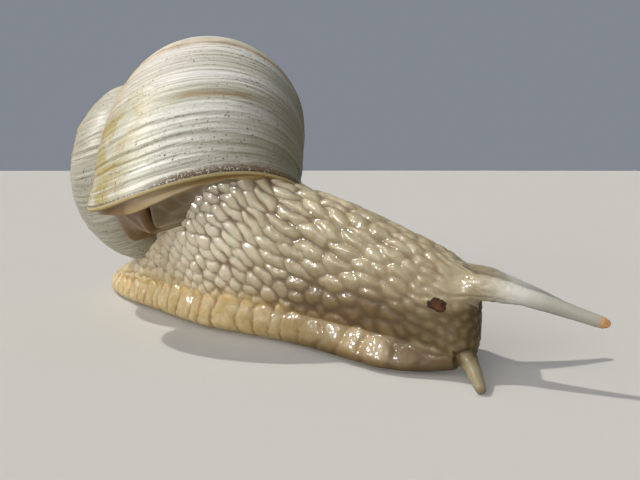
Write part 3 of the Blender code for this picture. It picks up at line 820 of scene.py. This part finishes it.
def shellPoints(turn, around, size):
    # centre of the tube = growth^(turn / full turn) * (centre outwards, -pitch * centre along the
    # axis), falling near the lip; its section is an oval with a low shoulder, fuller at the base
    s = shellSizes
    scale = s["growth"] ** (turn / fullTurn)
    fall = s["lipFall"] * np.clip((turn + s["lipFallFrom"]) / s["lipFallFrom"], 0, 1.3)**2
    size = size * (1 + s["shoulder"] * hump(around - s["shoulderAt"], s["shoulderSpread"]))
    radial = scale * (s["centre"] + s["out"] * size * np.cos(around))
    base = 1 + s["full"] * np.clip(-np.sin(around), 0, 1)**2
    along = scale * (s["along"] * base * size * np.sin(around) - s["pitch"] * s["centre"]) - fall
    spoke = np.cos(turn)[..., None] * shellOut + np.sin(turn)[..., None] * shellOn
    return np.array(s["top"]) + radial[..., None] * spoke + along[..., None] * shellAxis


def growthRelief(grown, around):
    # grown is the length in mm along the outside of the coil: each layer of shell rises slowly
    # and ends in a small step, wide layers over narrow ones, all uneven
    bent = grown + 0.8 * hills(grown / 14, around * 1.3, 21) + 0.20 * hills(grown / 2.5, around * 3.5, 22)
    relief, edges = np.zeros(grown.shape), np.zeros(grown.shape)
    for space, high, kind in ((3.7, shellSizes["ridgeHigh"], 31), (1.05, shellSizes["striaHigh"], 34)):
        i, f = stripePlace(bent / space, kind)
        strong = (0.25 + 0.75 * scatter(i, 1, kind)) * (0.7 + 0.3 * hills(around * 2.2, i, kind + 1))
        relief += high * strong * (f**2.2 - 0.35 - 0.5 * hump(f * space, 0.22))
        edges = np.maximum(edges, strong * hump(f * space, 0.20))
    fine = hills(bent * 1.4, around * 0.9, 24) + 0.6 * hills(bent * 2.7, around * 1.2, 25)
    return relief + 0.018 * fine + 0.10 * hills(bent / 7, around * 0.8, 27), edges


def makeShell(material):
    # rings from the first turn to the lip, over the lip and back inside; a ring is slanted by
    # lipSlant * sin(around), and size is its part of the tube's half sizes
    s = shellSizes
    lip = s["lipEnd"]
    even = np.linspace(-s["turns"] * fullTurn, lip, 4000)
    weight = 18 + 20 * ease(even, -14, -10) + 22 * ease(even, -7.6, -6.4) + 85 * ease(even, -1.5, -1.1)
    pace = np.append(0, np.cumsum((weight[1:] + weight[:-1]) / 2))
    outer = np.interp(np.linspace(0, pace[-1], s["rings"]), pace, even)
    over = np.array((0.006, 0.010, 0.012, 0.010, 0.006, 0.0))
    inner = np.linspace(-0.02, -s["mouthDeep"], 12)
    t = np.concatenate((outer, lip + over, lip + inner))
    flare = lambda place: 0.03 * np.clip(1 - (lip - place) / 0.16, 0, 1)
    thick = 0.006 * hump(lip - outer, 0.05)
    end = 1.03 + thick[-1]
    size = np.concatenate((1 + flare(outer) + thick,
                           end - (end - 1.03 + s["wall"]) * np.array((0.05, 0.2, 0.42, 0.66, 0.86, 0.97)),
                           1 - s["wall"] + flare(lip + inner)))[:, None]
    seen, hidden = np.linspace(-125, 105, s["seen"]), np.linspace(105, 235, s["hidden"])
    around = np.radians(np.append(seen, hidden[1:-1]))
    turn = t[:, None] + s["lipSlant"] * np.sin(around)[None]
    # the lower lip turns outwards after a slight waist
    out = np.minimum(t - lip, 0)[:, None]
    turned = s["lowerLip"] * hump(out, 0.060) - s["lipWaist"] * hump(out + 0.19, 0.09)
    base = shellPoints(turn, around[None] + 0 * turn, size + turned * hump(around + 1.65, 0.6))
    scale = s["growth"] ** (t / fullTurn)
    grown = (s["outside"] * scale)[:, None]
    relief, edges = growthRelief(grown + 0 * turn, around[None] + 0 * turn)
    relief *= np.clip(scale * 1.6, 0, 1)[:, None]
    onLip = np.clip(np.arange(len(t)) - len(outer) + 1, 0, 4) / 4
    relief *= (1 - onLip)[:, None] * (0.25 + 0.75 * ease(lip - t, 0.0, 0.06))[:, None]
    shape = base + outward(base) * relief[..., None]
    tip = shape[0].mean(0) + (shape[0].mean(0) - shape[3].mean(0)) * 0.8
    full = lambda value: spread(value, turn.shape, 0.0, 0.0)
    # lip: mm past the lip's edge; inside: 1 behind it in the mouth
    marks = {"ridge": full(np.clip(relief / 0.30 + 0.5, 0, 1)), "step": full(edges),
             "lip": full((t[:, None] - lip) * (s["centre"] + s["out"])),
             "inside": full((np.arange(len(t)) >= len(outer) + 3)[:, None])}
    uv = np.stack((full(grown / 100), full(around[None] / fullTurn)), -1)
    return surface("coiledShell", *closedGrid(shape, (tip, shape[-1].mean(0))), material, marks, uv)


def shellFinish():
    f = Finish("chalkyShell", Subsurface_Weight=0.05, Subsurface_Radius=(1.0, 0.8, 0.6),
               Subsurface_Scale=0.0008, Coat_Roughness=0.35, IOR=1.5, Specular_IOR_Level=0.09)
    where, lined = f.place(), f.node("ShaderNodeUVMap", {"uv_map": "surfaceMap"}, (), "UV")
    ridge, step, lip = map(f.mark, ("ridge", "step", "lip"))
    # grown runs along the coil, 2.57 at the lip; high goes round the tube, 0.25 at the spire's side
    grown, high = (f.node("ShaderNodeSeparateXYZ", {}, (lined,), k) for k in (0, 1))
    wideBand = f.noise(lined, 1.0, 3, 0.5, (24, 1.1, 1))
    broad = f.noise(lined, 1.0, 4, 0.6, (45, 2.2, 1))
    streak = f.noise(lined, 1.0, 6, 0.70, (160, 4, 1), 0.4)
    thread = f.noise(lined, 1.0, 4, 0.72, (620, 10, 1), 0.2)
    cloud = f.noise(where, 150, 5, 0.6)
    grain = f.noise(where, 3000, 3, 0.7)
    # ochre along the seam between turns, and a band of it where growth once paused
    seam = high.ramp(0.130, 0.155) * high.ramp(0.21, 0.17) * (cloud * 1.3 + 0.1) * streak.ramp(0.30, 0.55)
    creamTop = grown.bell(1.12, 0.05) + grown.bell(2.270, 0.014) * 0.6
    paused = grown.bell(2.294, 0.013) * cloud.ramp(0.25, 0.55) * (streak * 0.7 + 0.6)
    # olive stains on the spire's side near the lip, a brown streak, grainy dirt above the lip
    stain = (cloud.ramp(0.42, 0.56) * high.ramp(0.02, 0.10) * grown.ramp(2.37, 2.45)
             * streak.ramp(0.36, 0.54))
    brown = (grown.bell(2.443, 0.0065) * high.ramp(0.04, 0.0) * high.ramp(-0.13, -0.06)
             * streak.ramp(0.2, 0.55))
    grit = f.noise(where, 1900, 3, 0.7).ramp(0.54, 0.66) * (cloud.ramp(0.35, 0.6) * 0.6 + step * 0.9)
    dirt = lip.ramp(-1.7, -0.9) * lip.ramp(-0.10, -0.35) * high.ramp(0.05, -0.03)
    soil = f.blend(grain.ramp(0.5, 0.6), (0.12, 0.062, 0.024), (0.30, 0.185, 0.105))
    colour = f.layers(
        f.blend(wideBand.ramp(0.38, 0.62), (0.64, 0.64, 0.53), (0.93, 0.925, 0.87)),
        (high.ramp(-0.02, 0.08) * grown.ramp(2.46, 2.36) * 0.7, (0.90, 0.82, 0.77)),    # rosy white on the spire's side, partly painted light
        (grown.ramp(1.8, 1.4) * 0.75, (0.42, 0.405, 0.32)),         # greyer oldest turns
        (streak.ramp(0.47, 0.68) * 0.75, (0.36, 0.355, 0.28)),      # grey and white streaks
        (streak.ramp(0.50, 0.32) * 0.6, (0.88, 0.87, 0.82)),
        (thread.ramp(0.54, 0.72) * 0.5, (0.33, 0.29, 0.19)),
        # greyer towards the spire's side and on the oldest turns: partly weathering, partly painted shade
        (high.ramp(0.02, 0.13) * 0.34 + grown.ramp(1.8, 1.4) * 0.25, (0.40, 0.385, 0.29)),
        (ridge.ramp(0.45, 0.10) * 0.4, (0.38, 0.34, 0.23)),         # painted shade between the ridges
        (step * 0.55, (0.22, 0.18, 0.10)),                          # painted shade under their steps
        (seam * 0.75, (0.55, 0.38, 0.16)),
        (creamTop.clamp() * 0.75, (0.80, 0.68, 0.44)),
        (paused * 0.85, (0.44, 0.30, 0.14)),
        (grown.ramp(2.40, 2.49) * high.ramp(-0.02, 0.06) * 0.40, (0.47, 0.46, 0.33)),   # mossy and darker, partly painted shade
        (stain * 0.85, (0.42, 0.32, 0.08)),
        (brown * 0.85, (0.33, 0.20, 0.07)),
        (grit * 0.7, (0.24, 0.21, 0.13)),
        (high.ramp(-0.03, -0.18) * 0.75, (0.22, 0.19, 0.10)),       # the base, low down: painted shade with an olive-brown tint
        (dirt * grain.ramp(0.34, 0.52) * 0.92, soil),
        (lip.ramp(-0.75, -0.45) * lip.ramp(-0.05, -0.3) * grain.ramp(0.3, 0.5) * 0.8, (0.12, 0.08, 0.045)),
        (f.noise(where, 2100, 2, 0.6).ramp(0.64, 0.70) * cloud.ramp(0.40, 0.58), (0.09, 0.075, 0.05)),
        (lip.ramp(-0.28, -0.12), (0.52, 0.42, 0.20)),               # the lip's edge and inside
        (lip.ramp(0.05, 0.35), (0.36, 0.25, 0.105)),
        (f.mark("inside"), (0.42, 0.31, 0.15)))
    height = thread * 0.9 + streak * 0.8 + grain * dirt * 1.2 + grain * 0.25
    return f.feed(Base_Color=colour,
                  Roughness=(0.58 + streak * 0.25 + dirt * 0.1 - ridge * 0.1).clamp(),
                  Coat_Weight=(0.08 - dirt * 0.08 + broad * 0.06).clamp(),
                  Normal=f.bump(height, 0.00032, 0.9))


shell = makeShell(shellFinish())
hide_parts("shell")
print("shell done")


# mantle: the soft rim in the shell's mouth

mantleSizes = dict(
    rings=90, around=260,
    edge=0.925,         # size at the wall, as a part of the shell tube's half sizes
    front=0.070,        # how far the collar stands past the lip, in radians of the coil
    hang=4.8, curtain=7.6,      # mm that the flesh and its outer curtain hang down
    slitAt=24,          # degrees round the mouth
)


def makeMantle(material):
    # disc over the mouth: from the wall forwards over a round collar, then inwards to the body;
    # size falls from the wall to the middle, forward is the turn past the lip; on the side of
    # the spire it hangs down in a soft curtain with the breathing slit in it
    m = mantleSizes
    r = np.linspace(0, 1, m["rings"])[:, None]
    around = np.linspace(0, fullTurn, m["around"] + 1)[None, :-1]
    angle = np.degrees(np.mod(around + math.pi, fullTurn) - math.pi)
    size = m["edge"] * (1 - ease(r, 0.10, 1.0) * 0.985) + 0.025 * np.sin(np.clip(r / 0.3, 0, 1) * math.pi)
    collar = np.sin(np.clip(r / 0.32, 0, 1) * math.pi)**0.7
    forward = m["front"] * (0.40 + 0.60 * ease(angle, -75, 30) - 0.90 * ease(angle, 8, 45)) * collar
    forward = forward - 0.16 * (1 - ease(r, 0.0, 0.12)) - 0.05 * ease(r, 0.5, 0.9)
    spire = ease(angle - 110 * (r - 0.42), 21, 27) * (1 - ease(angle, 125, 150))
    fold = ((0.016 - 0.011 * spire) * hills(around * 7 + 3, r * 3, 41)
            + (0.008 - 0.004 * spire) * hills(around * 15, r * 5, 42))
    fold = fold + 0.003 * np.sin(angle * 0.10 + 3 * r) * spire * ease(r, 0.25, 0.4)
    fold = fold - 0.010 * hump(angle - 96 + 60 * (r - 0.4), 5) * ease(r, 0.26, 0.36)
    slitWay = (angle - m["slitAt"] - 110 * (r - 0.42)) / 2.0
    slitPart = ease(r, 0.38, 0.42) * (1 - ease(r, 0.50, 0.56))
    slit = hump(slitWay, 1) * slitPart
    beside = (hump(slitWay - 3.4, 2.0) + 0.7 * hump(slitWay + 3.2, 2.0)) * slitPart
    forward = forward + fold * ease(r, 0.10, 0.3) - 0.10 * slit + 0.030 * beside
    turn = shellSizes["lipEnd"] + forward + shellSizes["lipSlant"] * np.sin(around) * (size / 0.9)
    p = shellPoints(turn, around + 0 * turn, size)
    hang = m["hang"] * ease(angle, -35, 55) * (1 - ease(angle, 105, 165)) * ease(r, 0.26, 0.56)
    curtain = ease(angle, 48, 100) * (1 - ease(angle, 112, 138)) * hump(size - 0.79, 0.14)
    p[..., 2] -= hang + m["curtain"] * curtain * ease(r, 0.18, 0.41)
    middle = p[-1].mean(0)
    back = p[0].mean(0) - (middle - p[0].mean(0)) * 0.2
    marks = {"collar": (1 - ease(r, 0.24, 0.36)) * (1 - ease(angle, 12, 28)),
             "spireSide": spire * ease(r + 0.35 * ease(angle, 12, 28), 0.22, 0.32),
             "slit": slit, "fold": 0.5 + fold * 14 + 0.1 * beside, "rim": 1 - ease(r, 0.02, 0.10)}
    return surface("mantle", *closedGrid(p, (back, middle)), material,
                   {k: spread(v, turn.shape, 0.5, 0.5) for k, v in marks.items()})


def mantleFinish():
    f = Finish("mantleSkin", Subsurface_Weight=0.4, Subsurface_Radius=(1.0, 0.55, 0.3),
               Subsurface_Scale=0.0015, Coat_Roughness=0.15, IOR=1.38)
    where, spire = f.place(), f.mark("spireSide")
    patch, fine = f.noise(where, 180, 4), f.noise(where, 1100, 3)
    flesh = f.blend(patch.ramp(0.3, 0.7), (0.15, 0.105, 0.050), (0.24, 0.185, 0.105))
    cream = f.blend(patch.ramp(0.3, 0.7), (0.27, 0.185, 0.070), (0.37, 0.265, 0.105))
    # brown on the spire's side, darker in the furrows and paler on the folds: its own brown with painted
    # shade following the folds
    brown = f.blend(f.mark("fold").ramp(0.1, 0.9), (0.13, 0.07, 0.025), (0.24, 0.14, 0.055))
    colour = f.layers(flesh, (f.mark("collar"), cream), (spire, brown),
                      # the breathing slit is painted near black: painted shade in it
                      (f.mark("slit").ramp(0.2, 0.7), (0.05, 0.025, 0.012)),
                      (f.mark("rim") * 0.7 * (1 - spire), (0.28, 0.19, 0.08)))
    return f.feed(Base_Color=colour, Roughness=0.42 - patch * 0.15,
                  Coat_Weight=((patch * 0.5 + 0.2) * (1 - spire * 0.85)).clamp(),
                  Normal=f.bump(fine + patch * 0.5, 0.00008, 0.5))


mantle = makeMantle(mantleFinish())
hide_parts("mantle_collar")
print("mantle done")


# eyes at the tips of the upper feelers

eyeSizes = dict(radius=0.50, longer=1.06, ahead=0.27, rings=18, around=32)


def makeEye(name, path, material):
    # ball a little longer than wide along the feeler; the dark spot is its far pole
    e = eyeSizes
    axis = unit(path[2] - path[1])
    first = unit(np.cross(axis, (0.3, 0.2, 1.0)))
    second = np.cross(axis, first)
    centre = path[2] + axis * e["ahead"]
    down = np.linspace(0, math.pi, e["rings"] + 2)[1:-1, None]
    around = np.linspace(0, fullTurn, e["around"] + 1)[None, :-1]
    wide = np.sin(down) * (1 + 0.03 * np.sin(around * 3) * np.sin(down))
    p = centre + e["radius"] * ((np.cos(around) * wide)[..., None] * first
                                + (np.sin(around) * wide)[..., None] * second
                                + (np.cos(down) * e["longer"])[..., None] * axis)
    poles = centre + np.outer((1, -1), axis) * e["radius"] * e["longer"]
    spot = spread(np.cos(down), wide.shape, 1.0, -1.0)
    return surface(name, *closedGrid(p, poles), material, {"spot": spot})


def eyeFinish():
    f = Finish("amberEye", Subsurface_Weight=0.25, Subsurface_Radius=(1.0, 0.4, 0.15),
               Subsurface_Scale=0.0006, Coat_Roughness=0.04, IOR=1.4)
    mottled = f.noise(f.place(), 2600, 3)
    amber = f.blend(mottled.ramp(0.3, 0.7), (0.42, 0.19, 0.06), (0.60, 0.33, 0.13))
    dark = f.blend(f.mark("spot").ramp(0.80, 0.97) * 0.75, amber, (0.07, 0.03, 0.015))
    return f.feed(Base_Color=dark, Roughness=0.22 + mottled * 0.1,
                  Coat_Weight=(mottled * 0.2 + 0.7).clamp(), Normal=f.bump(mottled, 0.00002, 0.4))


eyeMaterial = eyeFinish()
for side, (_, path) in zip(("right", "left"), feelerPaths):
    eye = makeEye("eye." + side, path, eyeMaterial)
    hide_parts("eye_" + side)
print("eyes done")


# floor, light and camera

stage = dict(
    floor=(0.54, 0.53, 0.51),
    floorRadius=6,                 # metres
    sky=(0.80, 0.87, 1.0, 1),
    skyStrength=0.28,
    back=(-0.7314, -0.682, 0.0),   # level direction from the snail to the camera
    eye=(-0.0674, -0.0726, 0.023),
    fall=5.96,                     # degrees the camera looks down
    lens=38.8,
    # the way that each light comes from: towards the camera, to its left, up
    suns=(
        dict(name="keyLight", way=(0.72, 0.51, 0.47), strength=1.45, colour=(1.0, 0.965, 0.90), spread=50),
        dict(name="fillLight", way=(0.37, 0.70, 0.62), strength=0.90, colour=(1.0, 0.965, 0.90), spread=10,
             shadow=False),
        dict(name="rimLight", way=(-0.24, 0.52, 0.82), strength=1.85, colour=(1.0, 0.96, 0.88), spread=1.5),
        dict(name="glintLow", way=(0.12, 0.85, 0.50), strength=6.5, colour=(1.0, 0.97, 0.92), spread=1.2,
             shadow=False, glossOnly=True),
        dict(name="glintHigh", way=(0.05, 0.68, 0.70), strength=7.0, colour=(1.0, 0.97, 0.92), spread=1.2,
             shadow=False, glossOnly=True)),
)
back = np.array(stage["back"])
left = np.array((back[1], -back[0], 0.0))


def addSun(name, way, strength, colour, spread, shadow=True, glossOnly=False):
    # far light that spread, in degrees, softens; a gloss-only one just makes wet spots shine
    light = bpy.data.lights.new(name, "SUN")
    light.energy, light.color = strength, colour
    light.angle, light.use_shadow = math.radians(spread), shadow
    obj = addObject(name, light)
    way = back * way[0] + left * way[1] + np.array((0, 0, way[2]))
    obj.location = way
    obj.rotation_euler = (math.atan2(math.hypot(way[0], way[1]), way[2]), 0, math.atan2(way[0], -way[1]))
    obj.visible_diffuse = obj.visible_transmission = not glossOnly


def makeFloor():
    # large disc, level with the sole
    turn = np.linspace(0, fullTurn, 97)[:-1]
    rim = np.stack((np.cos(turn), np.sin(turn), 0 * turn), -1) * stage["floorRadius"]
    mesh = bpy.data.meshes.new("floor")
    mesh.from_pydata(rim.tolist(), [], [list(range(len(turn)))])
    f = Finish("floorPaint", Specular_IOR_Level=0.0)
    tone = f.noise(f.place(), 18, 4)
    paint = f.blend(tone, stage["floor"], tuple(c * 0.96 for c in stage["floor"]))
    mesh.materials.append(f.feed(Base_Color=paint, Roughness=0.6 + tone * 0.1))
    addObject("floor", mesh)


makeFloor()
for sun in stage["suns"]:
    addSun(**sun)
world = bpy.data.worlds.new("softRoom")
world.use_nodes = True
sky = world.node_tree.nodes["Background"].inputs
sky["Color"].default_value, sky["Strength"].default_value = stage["sky"], stage["skyStrength"]
bpy.context.scene.world = world
bpy.context.scene.view_settings.view_transform = "Standard"

camera = bpy.data.cameras.new("camera")
camera.lens, camera.clip_start, camera.clip_end = stage["lens"], 0.005, 10
cameraObject = addObject("camera", camera)
cameraObject.location = stage["eye"]
cameraObject.rotation_euler = (math.radians(90 - stage["fall"]), 0, math.atan2(back[0], -back[1]))
bpy.context.scene.camera = cameraObject
print("stage done")
